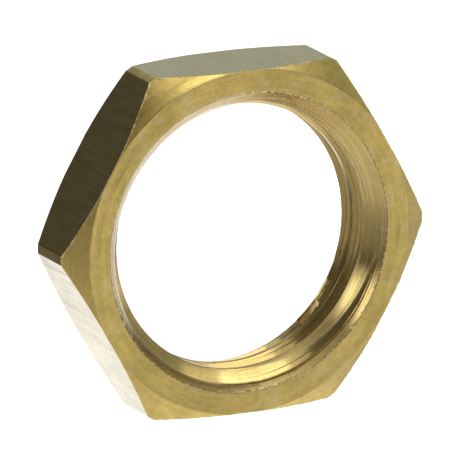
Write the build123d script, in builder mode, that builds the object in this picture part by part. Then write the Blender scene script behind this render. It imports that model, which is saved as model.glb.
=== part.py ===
"""Hexagon lock nut: drawn brass bar, faced and turned on both sides, bored, tapped G 1/2 and countersunk.

The nut stands on one of its flats. The thread axis is Y, the front face looks along -Y and the origin is
the middle of the bore. Lengths are in millimetres and angles in degrees.
"""

import os
from math import ceil, copysign, radians, tan

from build123d import *

# hexagon
across_flats = 25.0
thickness = 6.0
across_turned_corners = 28.5
face_diameter = 25.1
corner_chamfer_angle = 33.0  # slope of a turned corner, from the plane of the face

# G 1/2 thread: 14 threads to the inch, right hand, 55 degrees between the flanks
pitch = IN / 14
minor_diameter = 19.1
root_diameter = 21.2
flank_angle = 55 / 2
crest_width = 0.38
first_crest_depth = 1.11  # from the front face to the middle of the first crest, at +X

# where the seam of the bore's wall lies, from +X towards -Z: it is what divides the crest into faces
bore_seam = 50.0

# the thread cutter starts inside the bore and runs out past both faces
cutter_clearance = 0.1
run_out = pitch / 2

# both countersinks are 90 degrees
front_countersink_diameter = 21.9
back_countersink_diameter = 22.0

half = thickness / 2
minor_radius = minor_diameter / 2
corner_radius = across_turned_corners / 2
chamfer_rise = (corner_radius - face_diameter / 2) * tan(radians(corner_chamfer_angle))

# axial section of the thread cutter: half its width at the mouth and at the root
cutter_radius = minor_radius - cutter_clearance
cutter_height = root_diameter / 2 - cutter_radius
cutter_mouth = (pitch - crest_width) / 2 + cutter_clearance * tan(radians(flank_angle))
cutter_root = cutter_mouth - cutter_height * tan(radians(flank_angle))

# the helix starts at +Z, a quarter of a turn before +X, in a groove clear of the front face
groove_at_top = first_crest_depth - pitch / 4 + pitch / 2 - half
helix_start = groove_at_top - pitch * ceil((groove_at_top + half + run_out) / pitch)
helix_turns = ceil((half + run_out - helix_start) / pitch)


with BuildPart() as hex_nut:
    # the bar, cut to length
    with BuildSketch(Plane.XZ):
        RegularPolygon(across_flats / 2, 6, major_radius=False)
    extrude(amount=half, both=True)

    # turning leaves two faces, a cone over the corners at each face and a narrow land along each corner
    with BuildSketch(Plane.XY):
        with BuildLine():
            Polyline(
                (0, -half),
                (face_diameter / 2, -half),
                (corner_radius, chamfer_rise - half),
                (corner_radius, half - chamfer_rise),
                (face_diameter / 2, half),
                (0, half),
                close=True,
            )
        make_face()
    revolve(axis=Axis.Y, mode=Mode.INTERSECT)

    # bore, at the thread's minor diameter
    with BuildSketch(Plane.XY.rotated((0, bore_seam, 0))):
        Rectangle(minor_radius, thickness, align=(Align.MIN, Align.CENTER))
    revolve(axis=Axis.Y, mode=Mode.SUBTRACT)

    # thread groove
    with BuildLine() as thread_path:
        Helix(pitch, pitch * helix_turns, cutter_radius, center=(0, helix_start, 0), direction=(0, 1, 0))
    with BuildSketch(Plane(origin=(0, helix_start, cutter_radius), x_dir=(0, 0, 1), z_dir=(1, 0, 0))):
        with BuildLine():
            Polyline(
                (0, -cutter_mouth),
                (cutter_height, -cutter_root),
                (cutter_height, cutter_root),
                (0, cutter_mouth),
                close=True,
            )
        make_face()
    sweep(path=thread_path.wire(), is_frenet=True, mode=Mode.SUBTRACT)

    # countersinks
    for face, diameter in ((-half, front_countersink_diameter), (half, back_countersink_diameter)):
        with BuildSketch(Plane.XY):
            with BuildLine():
                Polyline((0, face), (diameter / 2, face), (0, face - copysign(diameter / 2, face)), close=True)
            make_face()
        revolve(axis=Axis.Y, mode=Mode.SUBTRACT)

hex_nut.part.label = "hex_nut"

os.makedirs("parts", exist_ok=True)
export_step(hex_nut.part, "parts/hex_nut.step")
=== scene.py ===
"""Hexagon lock nut, G 1/2, in bare brass.

One fine mesh of the drawn, turned and tapped surfaces stands in for the CAD solid. With it come its six
finishes, a light table, soft studio light and the camera.
"""

import math

import bmesh
import bpy
import numpy as np
from mathutils import Matrix, Vector


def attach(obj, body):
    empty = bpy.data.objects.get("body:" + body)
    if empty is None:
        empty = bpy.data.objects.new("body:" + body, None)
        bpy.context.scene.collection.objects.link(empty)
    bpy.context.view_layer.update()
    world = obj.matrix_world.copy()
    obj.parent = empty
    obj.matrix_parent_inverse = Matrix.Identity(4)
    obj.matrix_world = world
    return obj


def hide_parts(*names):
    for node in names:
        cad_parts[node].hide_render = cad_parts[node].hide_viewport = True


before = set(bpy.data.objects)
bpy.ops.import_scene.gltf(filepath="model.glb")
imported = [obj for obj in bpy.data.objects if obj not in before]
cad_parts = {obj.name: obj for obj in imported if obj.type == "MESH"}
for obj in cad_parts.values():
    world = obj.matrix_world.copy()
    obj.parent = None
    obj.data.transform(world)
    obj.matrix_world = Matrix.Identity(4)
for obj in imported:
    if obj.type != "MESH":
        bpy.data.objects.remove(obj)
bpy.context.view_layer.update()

MM = 0.001
TAU = 2 * math.pi
SIXTH = TAU / 6  # the angle between two corners

# ---------------------------------------------------------------- dimensions, in millimetres
FLAT_R = 12.5  # half across the flats
LAND_R = 14.25  # turned corner lands
FACE_R = 12.55  # where a face meets a corner chamfer
HALF = 3.0  # half the thickness
CHAMFER = math.radians(33)
LAND_BLEND = 0.03  # rounding where a land meets its flats

PITCH = 25.4 / 14
CREST_R, ROOT_R = 9.55, 10.6
FLANK = math.radians(27.5)
CREST_W = 0.38
CREST_EDGE, ROOT_FILLET = 0.045, 0.13
FIRST_CREST = 1.11  # depth of the first crest's middle at +X
TURNS = 7  # more than enough to pass both faces
BEYOND = 0.5  # how far past each face the thread's rows are kept
SINK_FRONT, SINK_BACK = 10.95, 11.0  # countersink radius at each face, sloping in at 45 degrees

# wear on the outside; the front edges are uneven and the back ones are clean
EDGE_R = 0.07  # worn outer edges
EDGE_SPREAD = 0.55  # how much the front corner edges vary, as a share of EDGE_R
WEAR_START, WEAR_SPAN = 0.1, 0.25  # where that variation sets in, outside the face, and over what length
SPUR_LEAN = np.array([-0.7, 0.7])  # which way a corner burr stands, as (depth, r)
SPUR_SHAPE = (0, 0.5, 1, 0.5, 0)  # its share at each row of the edge
EDGE_TORN = 0.35  # how torn the front corner edges look between burrs
FULLY_TORN = 0.04  # height of a corner burr that looks torn all over

# the countersinks' lips
SINK_EDGE = 0.05  # rounding
LIP_SPREAD = 0.012  # raggedness in front
LIP_TORN = 0.03  # height of a lip burr that looks torn all over
HALF_BEVEL = math.tan(math.radians(22.5))  # a lip's rounding reaches this share of its radius from the lip

# edges where the thread and a countersink cut each other
BURR, BURR_SPREAD = 0.05, 0.6  # how far such an edge is broken, and how much of that varies
BURR_LIMIT = 0.3  # the most of it, as a share of the lower stretch beside the edge
CUT_DEPTH = 0.25  # a stretch lower than this has a fainter edge
# how much darker the colour is made beside such an edge, and how torn it looks
CUT_DARKENING, CUT_TORN = (0.25, 0.0, 0.15), (0.6, 1.0, 0.6)  # on the countersink, on the edge, on the thread
# how much darker the colour is made towards the thread's roots and along the countersinks' lips
ROOT_DARKENING, LIP_DARKENING = 0.55, 0.6

# rows and columns of the mesh; a row's place is a share of the way, or in millimetres where it says so
FLANK_ROWS = (0.15, 0.85)
FACE_ROWS = (0.06, 0.35, 0.65, 0.94)
CHAMFER_ROWS = (0.08, 0.5, 0.92)
SIDE_ROWS = (0.02, 0.35, 0.65, 0.98)
FILLET_STEPS = 3  # round each corner of the thread's section
LIP_STEPS = 3  # round a countersink's lip
FACE_EDGE_STEPS = 2  # round the edge between the face and a chamfer
BEVEL_ROWS = (0.04, 0.12)  # millimetres from the lip
SINK_STEP = 0.15  # least distance between rows across a countersink
SINK_CLEAR, SINK_MARGIN = 0.06, 0.2  # least distance of those rows from the thread and from a face
CROWDED = 0.004  # least distance between rows along the bore
COLUMNS = 780
LAND_STEPS = (-0.34, -0.22, -0.11, 0, 0.11, 0.22, 0.34)  # degrees from where a land meets a flat
LAND_CLEAR = math.radians(0.06)  # an even column this near to one of those is left out
MERGED = 0.0005  # points nearer than this become one

FLAT_ZONE, FACE_ZONE, CHAMFER_ZONE, LAND_ZONE, SINK_ZONE, THREAD_ZONE = range(6)


# ---------------------------------------------------------------- uneven edges
RAGGED_WAVES = (5, 11, 19, 31, 47, 73, 101, 139)
WAVE_SIZES = (0.4, 1.0)
RAGGED_SCALE = 3
BURR_SIZES = (0.3, 1.0)
BURR_WIDTHS = (0.004, 0.010)  # in radians


def ragged(seed):
    """A function of the angle, from about -1 to 1, for an edge that the cutter left uneven."""
    draw = np.random.default_rng(seed)
    waves = [(count, draw.uniform(0, TAU), draw.uniform(*WAVE_SIZES)) for count in RAGGED_WAVES]

    def height(angle):
        return sum(math.sin(count * angle + turn) * size for count, turn, size in waves) / RAGGED_SCALE

    return height


def burrs(seed, count, height):
    """A function of the angle: small spurs of metal left standing here and there along an edge."""
    draw = np.random.default_rng(seed)
    where = draw.uniform(0, TAU, count)
    size = draw.uniform(*BURR_SIZES, count) ** 2 * height
    width = draw.uniform(*BURR_WIDTHS, count)

    def spur(angle):
        off = (angle - where + math.pi) % TAU - math.pi
        return float(np.max(size * np.exp(-((off / width) ** 2))))

    return spur


corner_edge, bore_edge, crest_edge = ragged(3), ragged(5), ragged(6)
bore_burrs = burrs(7, count=230, height=0.05)
crest_burrs = burrs(8, count=190, height=0.04)
corner_burrs = burrs(9, count=300, height=0.055)


# ---------------------------------------------------------------- sections
def between(p, q, share):
    return p * (1 - share) + q * share


def fillet(points, radii, steps):
    """An open polyline with its corners rounded."""
    out = [np.array(points[0], float)]
    for before, at, after, radius in zip(points, points[1:], points[2:], radii):
        before, at, after = (np.array(p, float) for p in (before, at, after))
        u = (before - at) / np.linalg.norm(before - at)
        v = (after - at) / np.linalg.norm(after - at)
        half_angle = math.acos(float(np.clip(u @ v, -1, 1))) / 2
        reach = radius / math.tan(half_angle)
        centre = at + (u + v) / np.linalg.norm(u + v) * radius / math.sin(half_angle)
        p, q = at + u * reach - centre, at + v * reach - centre
        for t in np.linspace(0, 1, steps + 1):
            w = between(p, q, t)
            out.append(centre + w / np.linalg.norm(w) * radius)
    out.append(np.array(points[-1], float))
    return np.array(out)


def arc(centre, radius, first, last, steps):
    """Points (depth, r) round a centre, between angles that are 0 out of the nut's face and grow outwards."""
    turns = np.linspace(first, last, steps + 1)
    return [centre + radius * np.array([-math.cos(t), math.sin(t)]) for t in turns]


def thread_section():
    """One pitch of the thread: (distance from the middle of the crest, radius), from root to root."""
    flank_end = CREST_W / 2 + (ROOT_R - CREST_R) * math.tan(FLANK)
    corners = [(0, CREST_R), (CREST_W / 2, CREST_R), (flank_end, ROOT_R), (PITCH / 2, ROOT_R)]
    right = fillet(corners, (CREST_EDGE, ROOT_FILLET), FILLET_STEPS)
    root_start = FILLET_STEPS + 2  # the number of the first point after the flank
    flank = [between(right[root_start - 1], right[root_start], share) for share in FLANK_ROWS]
    right = np.vstack([right[:root_start], flank, right[root_start:]])
    left = right[::-1] * (-1, 1)
    return np.vstack([left[:-1], right])


SECTION = thread_section()


def sink_radius(y):
    return np.maximum(SINK_FRONT - (y + HALF), SINK_BACK - (HALF - y))


def thread_rows(angle):
    """The thread alone at one angle, from before the front face to beyond the back: rows of (y, r, turn)."""
    first = FIRST_CREST - HALF + PITCH * angle / TAU
    low = math.floor((-HALF - first) / PITCH) - 1
    rows = [(first + n * PITCH + d, r, n) for n in range(low, low + TURNS) for d, r in SECTION[:-1]]
    rows = np.array(rows)
    return rows[np.abs(rows[:, 0]) < HALF + BEYOND]


def peaks(clear):
    """For each row, the most by which its stretch of rows stands clear of the countersinks or under them."""
    most = np.zeros(len(clear))
    first = 0
    for k in range(1, len(clear) + 1):
        if k == len(clear) or (clear[k] > 0) != (clear[first] > 0):
            most[first:k] = np.abs(clear[first:k]).max()
            first = k
    return most


def cut_edge(angle, before, after, clear, peak):
    """Three points round the edge where the thread and a countersink cut each other, with its burr.

    before and after are the thread's rows on both sides of the edge, and clear says how far each is clear of
    the countersink. peak is the height of the lower stretch beside the edge.
    """
    entering = clear[1] > 0  # the thread sets in here
    corner = between(before[:2], after[:2], clear[0] / (clear[0] - clear[1]))
    away = (after - before if entering else before - after)[:2]
    along = (angle + before[2] * TAU) / 3  # the helix runs on from turn to turn, and the wear with it
    burr = BURR * (1 + BURR_SPREAD * crest_edge(along)) + crest_burrs(along % TAU)
    burr = min(burr, BURR_LIMIT * peak)
    on_thread = corner + away / np.linalg.norm(away) * burr
    back_along = 1 if away[0] < 0 else -1
    y = corner[0] + back_along * burr / math.sqrt(2)
    on_sink = np.array([y, sink_radius(y)])
    middle = 0.25 * on_sink + 0.5 * corner + 0.25 * on_thread
    zones = (THREAD_ZONE if entering else SINK_ZONE, THREAD_ZONE, THREAD_ZONE)
    strength = min(1.0, peak / CUT_DEPTH)
    points = [
        (*point, zone, grime * strength, torn * strength)
        for point, zone, grime, torn in zip((on_sink, middle, on_thread), zones, CUT_DARKENING, CUT_TORN)
    ]
    return points if entering else points[::-1]


def bore_column(angle):
    """The bore's section at one angle, from the front lip to the back one.

    Its points are (y, r, zone, darkening, torn), where darkening is how much darker the colour is made, and a
    point's zone is that of the strip after it.
    """
    rows = thread_rows(angle)
    clear = rows[:, 1] - sink_radius(rows[:, 0])  # above 0 where the thread is deeper than the countersinks
    most = peaks(clear)
    lip = SINK_EDGE * HALF_BEVEL / math.sqrt(2)
    # the lips are coloured darker
    points = [(-HALF + lip, SINK_FRONT - lip, SINK_ZONE, LIP_DARKENING, 0.0)]
    points += [(-HALF + lip + d, SINK_FRONT - lip - d, SINK_ZONE, 0.0, 0.0) for d in BEVEL_ROWS]
    for k in range(len(rows) - 1):
        y, r = rows[k, :2]
        if clear[k] > 0:
            depth = (r - CREST_R) / (ROOT_R - CREST_R)
            # darker towards the thread's roots
            points.append((y, r, THREAD_ZONE, ROOT_DARKENING * depth**4, 0.0))
        if (clear[k] > 0) != (clear[k + 1] > 0):
            points += cut_edge(angle, rows[k], rows[k + 1], clear[k : k + 2], min(most[k], most[k + 1]))
        elif clear[k] < -SINK_CLEAR and abs(y) < HALF - SINK_MARGIN and points[-1][0] < y - SINK_STEP:
            points.append((y, sink_radius(y), SINK_ZONE, 0.0, 0.0))
    points += [(HALF - lip - d, SINK_BACK - lip - d, SINK_ZONE, 0.0, 0.0) for d in BEVEL_ROWS[::-1]]
    points.append((HALF - lip, SINK_BACK - lip, SINK_ZONE, LIP_DARKENING, 0.0))
    return points


def tidy_column(points):
    """Keeps the points in order along the bore and drops those that crowd a cut edge.

    A dropped point hands its zone to the point before it.
    """
    kept = [points[0]]
    for point in points[1:-1]:
        if point[0] > kept[-1][0] + CROWDED:
            kept.append(point)
        else:
            y, r, _, grime, torn = kept[-1]
            kept[-1] = (y, r, point[2], grime, torn)
    while kept[-1][0] > points[-1][0] - CROWDED:
        kept.pop()
    return kept + [points[-1]]


ALONG = np.array([math.sin(CHAMFER), math.cos(CHAMFER)])  # along a chamfer, as (depth, r)
OUT = np.array([-math.cos(CHAMFER), math.sin(CHAMFER)])  # straight out of it


def side_at(angle):
    """How far the outside reaches at an angle, and its zone. A land and a flat blend where they meet."""
    from_corner = (angle + SIXTH / 2) % SIXTH - SIXTH / 2
    flat = FLAT_R / math.cos(SIXTH / 2 - abs(from_corner))
    share = min(1.0, max(0.0, 0.5 + 0.5 * (LAND_R - flat) / LAND_BLEND))
    reach = between(LAND_R, flat, share) - LAND_BLEND * share * (1 - share)
    return reach, LAND_ZONE if flat > LAND_R else FLAT_ZONE


def edge_centres(angle, reach, uneven):
    """The centres that a chamfer's inner and outer edges are rounded about, and the outer one's radius."""
    corner = min(1.0, max(0.0, (reach - FACE_R - WEAR_START) / WEAR_SPAN))  # 0 at the middle of a flat
    worn = EDGE_R * (1 + EDGE_SPREAD * uneven * corner * corner_edge(angle))
    start = np.array([0, FACE_R]) - EDGE_R * OUT
    inner = start + ALONG * (EDGE_R - start[0]) / ALONG[0]
    start = np.array([0, FACE_R]) - worn * OUT
    outer = start + ALONG * (reach - worn - start[1]) / ALONG[1]
    if inner[1] > reach - EDGE_R:  # the chamfer has run out, so the face meets the side in one edge
        inner = outer = np.array([EDGE_R, reach - EDGE_R])
    return inner, outer, worn


def outer_half(angle, sink, uneven):
    """Half of the outside's section, from the countersink's lip to the side.

    Returns rows of (depth, r, torn), and the zone of the strip after each row. uneven is 1 for edges that the
    cutter left ragged and 0 for clean ones.
    """
    reach, side = side_at(angle)
    inner, outer, worn = edge_centres(angle, reach, uneven)
    rows, zones = [], []

    def add(points, zone, torn=0.0):
        for depth, r in points:
            rows.append((depth, r, torn))
            zones.append(zone)

    lip_burr = uneven * bore_burrs(angle)
    lip_r = sink + uneven * LIP_SPREAD * bore_edge(angle) - lip_burr
    lip = np.array([SINK_EDGE, lip_r + SINK_EDGE * HALF_BEVEL])
    add(arc(lip, SINK_EDGE, -math.pi / 4, 0, LIP_STEPS), SINK_ZONE, min(1.0, lip_burr / LIP_TORN))
    add([(0.0, between(lip[1], inner[1], share)) for share in FACE_ROWS], FACE_ZONE)
    add(arc(inner, EDGE_R, 0, CHAMFER, FACE_EDGE_STEPS), FACE_ZONE)
    first, last = inner + EDGE_R * OUT, outer + worn * OUT
    add([between(first, last, share) for share in CHAMFER_ROWS], CHAMFER_ZONE)
    burr = uneven * corner_burrs(angle)
    edge = arc(outer, worn, CHAMFER, math.pi / 2, len(SPUR_SHAPE) - 1)
    edge = [point + burr * share * SPUR_LEAN for point, share in zip(edge, SPUR_SHAPE)]
    add(edge, CHAMFER_ZONE, uneven * (EDGE_TORN + min(1 - EDGE_TORN, burr / FULLY_TORN)))
    zones[-1] = side
    return rows, zones


def outer_column(angle):
    """The outside's section at one angle, from the front lip round to the back one.

    Returns rows of (y, r, torn), and the zone of the strip after each row but the last.
    """
    front, zones = outer_half(angle, SINK_FRONT, 1)
    back = outer_half(angle, SINK_BACK, 0)[0]
    first, last = front[-1][0] - HALF, HALF - back[-1][0]
    reach, side = front[-1][1], zones[-1]
    rows = [(depth - HALF, r, torn) for depth, r, torn in front]
    rows += [(between(first, last, share), reach, 0.0) for share in SIDE_ROWS]
    rows += [(HALF - depth, r, torn) for depth, r, torn in back[::-1]]
    return rows, zones + [side] * len(SIDE_ROWS) + zones[:-1][::-1]


def columns():
    """The angles of the sections: even steps, and finer ones where a corner land meets its flats."""
    half_land = SIXTH / 2 - math.acos(FLAT_R / LAND_R)
    meets = [corner * TAU / 6 + sign * half_land for corner in range(6) for sign in (-1, 1)]
    fine = np.array([meet + math.radians(step) for meet in meets for step in LAND_STEPS]) % TAU
    even = np.linspace(0, TAU, COLUMNS, endpoint=False)
    far = [a for a in even if np.min(np.abs((fine - a + math.pi) % TAU - math.pi)) > LAND_CLEAR]
    return np.sort(np.concatenate([far, fine]))


# ---------------------------------------------------------------- the nut's mesh
class Surface:
    """Points and faces, with how much darker and how torn each point is and which zone each face belongs to.
    """

    def __init__(self):
        self.points, self.grime, self.torn = [], [], []
        self.faces, self.zones = [], []

    def point(self, angle, y, r, grime, torn):
        """Adds a point at an angle, clockwise from +X seen from the front, and returns its number."""
        self.points.append((r * math.cos(angle) * MM, y * MM, -r * math.sin(angle) * MM))
        self.grime.append(grime)
        self.torn.append(torn)
        return len(self.points) - 1

    def face(self, corners, zone):
        self.faces.append(corners)
        self.zones.append(zone)


def add_section(surface, angle):
    """Adds a section's points. Returns the outside's numbers and zones, and the bore as (y, number, zone)."""
    rows, zones = outer_column(angle)
    outside = []
    for k, (y, r, torn) in enumerate(rows):
        # the rows round the lips are coloured darker
        on_lip = min(k, len(rows) - 1 - k) <= LIP_STEPS
        outside.append(surface.point(angle, y, r, LIP_DARKENING if on_lip else 0.0, torn))
    points = tidy_column(bore_column(angle))
    bore = [(points[0][0], outside[0], SINK_ZONE)]
    for y, r, zone, grime, torn in points[1:-1]:
        bore.append((y, surface.point(angle, y, r, grime, torn), zone))
    bore.append((points[-1][0], outside[-1], SINK_ZONE))
    return outside, zones, bore


def join_outside(surface, here, there, zones):
    for k in range(len(here) - 1):
        surface.face((here[k], there[k], there[k + 1], here[k + 1]), zones[k])


def join_bore(surface, here, there):
    """Zips two columns of different lengths together, each time by the shorter step along the bore."""
    m = n = 0
    while m < len(here) - 1 or n < len(there) - 1:
        step_here = n == len(there) - 1
        if m < len(here) - 1 and not step_here:
            step_here = abs(here[m + 1][0] - there[n][0]) < abs(there[n + 1][0] - here[m][0])
        if step_here:
            surface.face((here[m][1], here[m + 1][1], there[n][1]), here[m][2])
            m += 1
        else:
            surface.face((here[m][1], there[n + 1][1], there[n][1]), there[n][2])
            n += 1


def build_nut():
    """The whole surface as a mesh, whose material slots are the zones."""
    surface = Surface()
    sections = [add_section(surface, angle) for angle in columns()]
    for here, there in zip(sections, sections[1:] + sections[:1]):
        join_outside(surface, here[0], there[0], here[1])
        join_bore(surface, here[2], there[2])
    mesh = bpy.data.meshes.new("hex_nut_surface")
    mesh.from_pydata(surface.points, [], surface.faces)
    # how much darker each point's colour is made, and how torn it looks
    mesh.attributes.new("grime", "FLOAT", "POINT").data.foreach_set("value", surface.grime)
    mesh.attributes.new("torn", "FLOAT", "POINT").data.foreach_set("value", surface.torn)
    mesh.validate()
    mesh.update()
    for polygon, zone in zip(mesh.polygons, surface.zones):
        polygon.material_index = zone
        polygon.use_smooth = True
    shape = bmesh.new()
    shape.from_mesh(mesh)
    bmesh.ops.remove_doubles(shape, verts=shape.verts, dist=MERGED * MM)
    shape.to_mesh(mesh)
    shape.free()
    return mesh


mesh = build_nut()
nut = bpy.data.objects.new("nut_body", mesh)
bpy.context.scene.collection.objects.link(nut)
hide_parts("hex_nut")
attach(nut, "root")

shade = nut.modifiers.new("weighted_normals", "WEIGHTED_NORMAL")
shade.mode = "FACE_AREA_WITH_ANGLE"
shade.weight = 80


# ---------------------------------------------------------------- node trees
class Nodes:
    """Short calls for building a node tree. A value is a number, a tuple or another node's output."""

    def __init__(self, tree):
        self.tree = tree

    def node(self, kind, **settings):
        made = self.tree.nodes.new(kind)
        for name, value in settings.items():
            setattr(made, name, value)
        return made

    def put(self, socket, value):
        if isinstance(value, bpy.types.NodeSocket):
            self.tree.links.new(value, socket)
        else:
            socket.default_value = value

    def math(self, operation, *values, clamp=False):
        made = self.node("ShaderNodeMath", operation=operation, use_clamp=clamp)
        for socket, value in zip(made.inputs, values):
            self.put(socket, value)
        return made.outputs[0]

    def plus(self, a, b, clamp=False):
        return self.math("ADD", a, b, clamp=clamp)

    def minus(self, a, b):
        return self.math("SUBTRACT", a, b)

    def times(self, a, b):
        return self.math("MULTIPLY", a, b)

    def vector(self, x, y, z):
        made = self.node("ShaderNodeCombineXYZ")
        for socket, value in zip(made.inputs, (x, y, z)):
            self.put(socket, value)
        return made.outputs[0]

    def split(self, coordinates):
        """The three parts of one of the Texture Coordinate node's outputs."""
        made = self.node("ShaderNodeSeparateXYZ")
        self.put(made.inputs[0], self.node("ShaderNodeTexCoord").outputs[coordinates])
        return made.outputs

    def noise(self, vector, scale, octaves, rough, w=None):
        made = self.node("ShaderNodeTexNoise", noise_dimensions="3D" if w is None else "4D")
        self.put(made.inputs["Vector"], vector)
        self.put(made.inputs["Scale"], scale)
        self.put(made.inputs["Detail"], octaves)
        self.put(made.inputs["Roughness"], rough)
        if w is not None:
            self.put(made.inputs["W"], w)
        return made.outputs["Fac"]

    def ramp(self, value, low, high, out_low=0.0, out_high=1.0, smooth=False):
        made = self.node("ShaderNodeMapRange", interpolation_type="SMOOTHSTEP" if smooth else "LINEAR")
        for socket, setting in zip(made.inputs, (value, low, high, out_low, out_high)):
            self.put(socket, setting)
        return made.outputs[0]

    def mix(self, share, a, b, blend="MIX"):
        made = self.node("ShaderNodeMix", data_type="RGBA", blend_type=blend)
        colour_sockets = (made.inputs[0], made.inputs[6], made.inputs[7])  # the node has others for numbers
        for socket, value in zip(colour_sockets, (share, a, b)):
            self.put(socket, value)
        return made.outputs[2]

    def attribute(self, name):
        return self.node("ShaderNodeAttribute", attribute_name=name).outputs["Fac"]


def rgb(r, g, b):
    return (r, g, b, 1.0)


def darker(colour, share):
    return rgb(*(c * share for c in colour))


class Place:
    """Where a shaded point is, in millimetres, with its radius and the unit direction to it from the axis."""

    def __init__(self, n):
        self.x, self.y, self.z = (n.times(part, 1 / MM) for part in n.split("Object"))
        self.r = n.math("SQRT", n.plus(n.times(self.x, self.x), n.times(self.z, self.z)))
        self.across, self.up = n.math("DIVIDE", self.x, self.r), n.math("DIVIDE", self.z, self.r)
        self.point = n.vector(self.x, self.y, self.z)


# ---------------------------------------------------------------- tool marks
# Each kind gives (fine marks, broad marks, a coordinate that grows by 1 from one scored line to the next).
DRAWN_STRETCH = (0.05, 0.15)  # how fast the streaks change along the bar, against across it
DRAWN_MARKS = ((6.0, 3.0, 0.6), (1.1, 3.0, 0.6))  # scale, octaves, roughness
# changes per unit across the marks, changes per unit round the axis, octaves
FACED_MARKS = ((6.5, 5.0, 2.0), (2.2, 2.2, 2.0))
TURNED_MARKS = ((8.0, 1.2, 2.0), (2.2, 1.0, 1.0))
TAPPED_MARKS = ((2.8, 0.6, 1.0), (0.9, 0.6, 1.0))
TURNED_LINES = 2.4  # scored lines, for each unit across
TAPPED_LINES = 9  # scored lines in a pitch
SOFT = 0.5  # roughness of the marks' noise


def drawn(n, at):
    """Streaks along the bar. Nothing is scored."""
    marks = [
        n.noise(n.vector(at.x, n.times(at.y, stretch), at.z), *look)
        for stretch, look in zip(DRAWN_STRETCH, DRAWN_MARKS)
    ]
    return *marks, None


def rings(n, at, across, marks):
    """Noise drawn out round the axis, in three dimensions or four. across has one or two coordinates."""
    made = []
    for per_unit, around, octaves in marks:
        place = [n.times(v, per_unit) for v in across] + [n.times(v, around) for v in (at.across, at.up)]
        fourth = place[3] if len(place) == 4 else None
        made.append(n.noise(n.vector(*place[:3]), 1.0, octaves, SOFT, w=fourth))
    return made


def faced(n, at):
    """Short rings left on a faced surface. Nothing is scored."""
    return *rings(n, at, [n.plus(at.r, at.y)], FACED_MARKS), None


def turned(n, at):
    """Long rings left by a turning tool."""
    across = n.minus(at.r, at.y)
    return *rings(n, at, [across], TURNED_MARKS), n.times(across, TURNED_LINES)


def tapped(n, at):
    """Lines left by the tap. The direction (p, q) turns once in a pitch and is the same along the helix."""
    turn = n.times(n.plus(at.y, HALF - FIRST_CREST), TAU / PITCH)
    c, s = n.math("COSINE", turn), n.math("SINE", turn)
    down = n.times(at.up, -1.0)
    p = n.plus(n.times(c, at.across), n.times(s, down))
    q = n.minus(n.times(s, at.across), n.times(c, down))
    lines = n.times(n.math("ARCTAN2", q, p), TAPPED_LINES / TAU)
    return *rings(n, at, [p, q], TAPPED_MARKS), lines


# ---------------------------------------------------------------- brass
# noise: scale per millimetre, octaves, roughness
CLOUDS = (0.45, 4.0, 0.6)
BLOTCHES = (2.4, 4.0, 0.65)
PALE_PATCHES = (0.8, 3.0, 0.6)
GRIT = (7.0, 2.0, 0.6)
WANDER, WANDER_BY = (0.35, 2.0, 0.5), 1.4  # how the scored lines wander, and by how many lines
PITS, PIT_EDGES, PIT_EDGE_SHARE = (4.6, 2.0, 0.6), (17.0, 1.0, 0.5), 0.12
HAMMERED, HAMMERED_AROUND, HAMMERED_ALONG = (1.0, 2.0, 0.6), 95.0, 2.5

CHATTER_SIDE = (-0.5, -0.87)  # the cutter chattered on the lower left of the front countersink
# how much darker the colour is made where the cutter chattered
CHATTER_DARKENING = 0.35
# the marks' colour is partly their own tone and partly painted shade in their grooves; the scored lines'
# colour is painted shade
DULL_AND_SHADE, SCORED_SHADE = 0.6, 0.35  # colours of marks and of scored lines, as shares of the stain's
COAT_ROUGHNESS = 0.14
TORN_ROUGHNESS = 0.35
RING_TANGENT, BAR_TANGENT = 0.25, 0.0  # turns of the highlight, for marks round the axis and along the bar
BROAD_SHARE = 0.7  # how much the broad marks darken, against the fine ones
BROAD_RELIEF, BLOTCH_RELIEF, SCORE_RELIEF = 0.8, 0.12, 0.35  # heights, against the fine marks' 1

GOLD = (0.94, 0.695, 0.22)
OLIVE = (0.72, 0.545, 0.165)
PALE = (0.90, 0.73, 0.36)
TAN = (0.92, 0.69, 0.26)
BROWN = (0.68, 0.49, 0.16)
STRAW = (0.79, 0.655, 0.28)
SHADOW = (0.66, 0.55, 0.215)
# the colour that darkens the lips, the thread's roots, the cut edges and the chattered metal
DARK_TONE = (0.16, 0.13, 0.065)
PIT = (0.17, 0.125, 0.05)
TORN = (0.97, 0.84, 0.52)


def tarnished(n, at, clouds, blotches, colour, stain, stain_amount, pale):
    """The metal's colour under its tool marks: tarnish in clouds and blotches, paler patches, and grit."""
    share = n.times(n.ramp(clouds, 0.36, 0.66), stain_amount)
    share = n.plus(share, n.ramp(blotches, 0.43, 0.62, 0.0, stain_amount * 0.7), clamp=True)
    base = n.mix(share, rgb(*colour), rgb(*stain))
    patches = n.noise(n.vector(at.z, at.x, at.y), *PALE_PATCHES)
    base = n.mix(n.ramp(patches, 0.5, 0.68, 0.0, pale), base, rgb(*PALE))
    return n.mix(n.ramp(n.noise(at.point, *GRIT), 0.50, 0.66, 0.0, 0.18), base, darker(stain, DULL_AND_SHADE))


def scuffed(n, at):
    """How hard the bar was scored: most on the nut's upper left."""
    return n.times(n.ramp(at.z, -6.0, 3.0, 0.08, 1.0), n.ramp(at.x, -8.0, -5.0, 1.0, 0.5))


def scores(n, at, fine, lines):
    """Thin scored lines, broken where the fine marks are faint."""
    wavy = n.plus(lines, n.times(n.noise(at.point, *WANDER), WANDER_BY))
    from_line = n.math("PINGPONG", wavy, 0.5)
    return n.times(n.ramp(from_line, 0.03, 0.15, 1.0, 0.0), n.ramp(fine, 0.47, 0.57))


def chattered(n, at):
    """Where the cutter chattered."""
    towards = n.plus(n.times(at.across, CHATTER_SIDE[0]), n.times(at.up, CHATTER_SIDE[1]))
    return n.ramp(towards, 0.6, 0.95)


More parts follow.
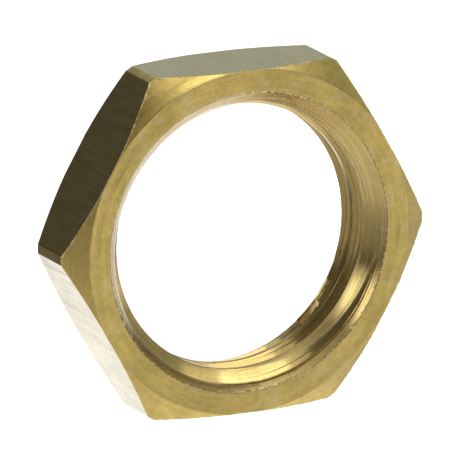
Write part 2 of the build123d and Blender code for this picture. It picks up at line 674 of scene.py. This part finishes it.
def hammered(n, at):
    """The dents that the cutter left there."""
    around = (n.times(at.across, HAMMERED_AROUND), n.times(at.up, HAMMERED_AROUND))
    return n.noise(n.vector(*around, n.times(at.y, HAMMERED_ALONG)), *HAMMERED)


def darkened_share(n, blotches, chatter_place):
    """How much darker the colour is made, from the mesh's own darkening and where the cutter chattered."""
    share = n.times(n.attribute("grime"), n.ramp(blotches, 0.35, 0.6, 0.35, 1.0))
    if chatter_place is not None:
        share = n.plus(share, n.times(chatter_place, CHATTER_DARKENING), clamp=True)
    return share


def pitted(n, at, specks):
    """Small dark pits with ragged edges."""
    depth = n.plus(n.noise(at.point, *PITS), n.times(n.noise(at.point, *PIT_EDGES), PIT_EDGE_SHARE))
    return n.ramp(depth, 0.80, 0.85, 0.0, specks)


def brass(
    name,
    grain,
    colour,
    stain,
    rough,
    streak,
    bump,
    stain_amount=0.5,
    anisotropic=0.0,
    across=True,
    coat=0.0,
    specks=0.0,
    darken_by=0.0,
    pale=0.0,
    gloss=0.04,
    scored=0.0,
    chatter=0.0,
):
    """One finish. grain gives its tool marks, which run round the nut, or along its axis if across is False.

    streak is how much the marks darken the metal, partly with their own tone and partly with painted shade in
    their grooves, gloss is how much they change its roughness, and bump is their height in millimetres. The
    other settings with a name say how strongly each thing shows.
    """
    material = bpy.data.materials.new("brass_" + name)
    material.use_nodes = True
    n = Nodes(material.node_tree)
    shader = material.node_tree.nodes["Principled BSDF"]
    at = Place(n)
    fine, broad, lines = grain(n, at)
    clouds, blotches = n.noise(at.point, *CLOUDS), n.noise(at.point, *BLOTCHES)
    strength = 1.0 if across else scuffed(n, at)
    score = scores(n, at, fine, lines) if scored else None
    chatter_place = chattered(n, at) if chatter else None

    base = tarnished(n, at, clouds, blotches, colour, stain, stain_amount, pale)
    amount = streak if across else n.times(strength, streak)
    # the fine and broad marks darken the colour: partly the metal's own tone, partly painted shade in their
    # grooves
    base = n.mix(n.ramp(fine, 0.46, 0.60, 0.0, amount), base, darker(stain, DULL_AND_SHADE))
    base = n.mix(n.ramp(broad, 0.5, 0.66, 0.0, n.times(amount, BROAD_SHARE)), base, darker(stain, DULL_AND_SHADE))
    # painted shade in the scored lines
    if scored:
        base = n.mix(n.times(score, scored), base, darker(stain, SCORED_SHADE))
    # darker at the lips, towards the thread's roots, beside the cut edges and where the cutter chattered
    if darken_by:
        base = n.mix(n.times(darkened_share(n, blotches, chatter_place), darken_by), base, rgb(*DARK_TONE))
    if specks:
        base = n.mix(pitted(n, at, specks), base, rgb(*PIT))
    tear = n.attribute("torn")
    tear = n.times(tear, tear)
    n.put(shader.inputs["Base Color"], n.mix(tear, base, rgb(*TORN)))
    shader.inputs["Metallic"].default_value = 1.0

    level = n.ramp(broad, 0.3, 0.7, rough * 0.75, rough * 1.25)
    level = n.plus(level, n.ramp(fine, 0.3, 0.7, -gloss, gloss))
    level = n.plus(level, n.ramp(clouds, 0.3, 0.75, -0.03, 0.05), clamp=True)
    n.put(shader.inputs["Roughness"], n.plus(level, n.times(tear, TORN_ROUGHNESS)))
    shader.inputs["Coat Weight"].default_value = coat
    shader.inputs["Coat Roughness"].default_value = COAT_ROUGHNESS
    shader.inputs["Anisotropic"].default_value = anisotropic
    shader.inputs["Anisotropic Rotation"].default_value = RING_TANGENT if across else BAR_TANGENT
    tangent = n.node("ShaderNodeTangent", direction_type="RADIAL", axis="Y")
    n.put(shader.inputs["Tangent"], tangent.outputs[0])

    height = n.plus(fine, n.times(broad, BROAD_RELIEF))
    height = n.plus(height, n.times(blotches, BLOTCH_RELIEF))
    if scored:
        height = n.minus(height, n.times(score, SCORE_RELIEF))
    if chatter:
        height = n.plus(height, n.times(hammered(n, at), n.times(chatter_place, chatter)))
    relief = n.node("ShaderNodeBump")
    n.put(relief.inputs["Strength"], strength)
    n.put(relief.inputs["Distance"], bump * MM)
    n.put(relief.inputs["Height"], height)
    n.put(shader.inputs["Normal"], relief.outputs[0])
    return material


FINISHES = (  # in the order of the zones
    brass(
        "flat", drawn, STRAW, SHADOW, 0.22, 0.5, 0.006,
        anisotropic=0.5, across=False, coat=0.55, gloss=0.05,
    ),
    brass(
        "face", faced, GOLD, OLIVE, 0.31, 0.11, 0.009,
        anisotropic=0.8, stain_amount=0.8, specks=0.8, pale=0.5,
    ),
    brass(
        "chamfer", faced, GOLD, OLIVE, 0.29, 0.10, 0.005,
        anisotropic=0.3, stain_amount=0.7, specks=0.5,
    ),
    brass(
        "land", turned, TAN, OLIVE, 0.24, 0.25, 0.010,
        anisotropic=0.4, coat=0.3,
    ),
    brass(
        "sink", turned, TAN, BROWN, 0.21, 0.22, 0.014,
        anisotropic=0.5, stain_amount=0.2, coat=0.3, darken_by=0.8, pale=0.5, scored=0.22, chatter=0.8,
    ),
    brass(
        "thread", tapped, TAN, BROWN, 0.14, 0.5, 0.018,
        anisotropic=0.5, stain_amount=0.3, coat=0.2, darken_by=0.8, scored=0.5,
    ),
)
for finish in FINISHES:
    mesh.materials.append(finish)


# ---------------------------------------------------------------- floor and light
FLOOR_R = 3.0  # metres
PAPER = (0.9, 0.9, 0.9)
WHITE, DAYLIGHT = (1.0, 1.0, 1.0), (0.9, 1.0, 1.03)

# A place round the nut is (azimuth, elevation) in degrees. Azimuth 0 is in front and 90 is on the right.
# Softboxes: name, place, width and height in degrees, brightness, tint.
SOFTBOXES = (
    ("key", (22, 44), (28, 32), 0.85, WHITE),
    ("key_edge", (26, 42), (52, 36), 0.42, WHITE),
    ("left", (-66, 26), (38, 18), 1.0, WHITE),
    ("left_edge", (-66, 26), (46, 31), 0.42, WHITE),
    ("right", (94, 14), (26, 16), 0.35, DAYLIGHT),
    ("right_fill", (70, 24), (58, 42), 0.17, DAYLIGHT),
    ("back_right", (154, 20), (48, 46), 0.27, DAYLIGHT),
)
SOFTBOX_DISTANCE = 0.6  # metres
# Black cards: place, how far from there in degrees the shade begins and is full, and the light it leaves.
CARDS = (
    ((-157, -13), (29, 14), 0.08),
    ((95, -22), (36, 10), 0.42),
    ((-60, -8), (24, 8), 0.5),
)
ROOM, CEILING = 0.09, 0.58  # brightness at the horizon and overhead
CEILING_POWER = 4.0  # how closely the ceiling's light keeps overhead
TABLE, TABLE_FALL = 0.91, 0.52  # the table's glow below the nut, and how much it gains towards one side
TABLE_SIDE = (0.5, 0.9)  # that side, the back right, as (x, y)
ROOM_TINT = (1.0, 0.97, 0.86)  # warm walls
TABLE_TINT = (0.95, 0.985, 1.17)  # the table is cooler towards that side


def direction(azimuth, elevation):
    a, e = math.radians(azimuth), math.radians(elevation)
    return Vector((math.sin(a) * math.cos(e), -math.cos(a) * math.cos(e), math.sin(e)))


def light_table():
    """A pale floor under the nut that glows softly."""
    under = (0, 0, -FLAT_R * MM)
    bpy.ops.mesh.primitive_circle_add(vertices=96, radius=FLOOR_R, fill_type="NGON", location=under)
    floor = bpy.context.object
    floor.name = "floor"
    floor.visible_glossy = False
    table = bpy.data.materials.new("light_table")
    table.use_nodes = True
    shader = table.node_tree.nodes["Principled BSDF"]
    shader.inputs["Base Color"].default_value = rgb(*PAPER)
    shader.inputs["Roughness"].default_value = 0.6
    shader.inputs["Specular IOR Level"].default_value = 0.0
    shader.inputs["Emission Color"].default_value = rgb(*WHITE)
    shader.inputs["Emission Strength"].default_value = 1.0
    floor.data.materials.append(table)


def softboxes():
    """Area lights that face the nut. Energy goes with size, so that each is as bright as it is listed."""
    for name, place, spread, brightness, tint in SOFTBOXES:
        light = bpy.data.lights.new(name, "AREA")
        light.shape = "RECTANGLE"
        light.size, light.size_y = (2 * SOFTBOX_DISTANCE * math.tan(math.radians(d / 2)) for d in spread)
        light.energy = brightness * 4 * light.size * light.size_y
        light.color = tint
        box = bpy.data.objects.new(name, light)
        bpy.context.scene.collection.objects.link(box)
        towards = direction(*place)
        box.location = towards * SOFTBOX_DISTANCE
        box.rotation_euler = towards.to_track_quat("Z", "Y").to_euler()
        box.visible_camera = False


def room():
    """A dim room that is lighter overhead, above the glow of the table. The camera sees plain white."""
    world = bpy.data.worlds.new("studio")
    bpy.context.scene.world = world
    world.use_nodes = True
    n = Nodes(world.node_tree)
    x, y, z = n.split("Generated")
    overhead = n.math("POWER", n.math("ABSOLUTE", z), CEILING_POWER)
    above = n.plus(n.times(overhead, CEILING - ROOM), ROOM)
    side = n.plus(n.times(x, TABLE_SIDE[0]), n.times(y, TABLE_SIDE[1]))
    below = n.math("MAXIMUM", n.plus(n.times(side, TABLE_FALL), TABLE), ROOM)
    share = n.ramp(z, -0.15, 0.13, smooth=True)  # 0 below the horizon and 1 above it
    level = n.plus(n.times(above, share), n.times(below, n.minus(1.0, share)))
    for place, edge, shade in CARDS:
        near = n.node("ShaderNodeVectorMath", operation="DOT_PRODUCT")
        n.put(near.inputs[0], n.vector(x, y, z))
        n.put(near.inputs[1], direction(*place))
        edge = (math.cos(math.radians(d)) for d in edge)
        level = n.times(level, n.ramp(near.outputs["Value"], *edge, 1.0, shade, smooth=True))
    table_tint = n.mix(n.ramp(side, 0.1, 0.8), rgb(*WHITE), rgb(*TABLE_TINT))
    tint = n.mix(share, table_tint, rgb(*ROOM_TINT))
    colour = n.mix(1.0, tint, n.vector(level, level, level), "MULTIPLY")
    seen = n.node("ShaderNodeLightPath").outputs["Is Camera Ray"]
    n.put(world.node_tree.nodes["Background"].inputs["Color"], n.mix(seen, colour, rgb(*WHITE)))


# ---------------------------------------------------------------- camera
CAMERA_PLACE, ROLL = (-26.514, 15.063), 0.270  # in degrees
CAMERA_DISTANCE = 1438.0  # millimetres from the nut's middle
AIM_RIGHT, AIM_UP = -0.391, 0.518  # what the camera is aimed at, in millimetres from that middle
SENSOR, LENS = 36.0, 1627.0


def place_camera():
    """A very long lens, at the photograph's viewing angle."""
    back = direction(*CAMERA_PLACE)
    level = direction(CAMERA_PLACE[0] + 90, 0)
    upright = back.cross(level)
    roll = math.radians(ROLL)
    right = math.cos(roll) * level + math.sin(roll) * upright
    up = -math.sin(roll) * level + math.cos(roll) * upright
    place = back * (CAMERA_DISTANCE * MM) + right * AIM_RIGHT * MM + up * AIM_UP * MM
    camera = bpy.data.objects.new("camera", bpy.data.cameras.new("camera"))
    bpy.context.scene.collection.objects.link(camera)
    camera.data.sensor_width, camera.data.lens = SENSOR, LENS
    camera.data.clip_start, camera.data.clip_end = 0.05, 20.0
    camera.matrix_world = Matrix.Translation(place) @ Matrix((right, up, back)).transposed().to_4x4()
    bpy.context.scene.camera = camera


light_table()
softboxes()
room()
place_camera()
bpy.context.scene.view_settings.view_transform = "Standard"
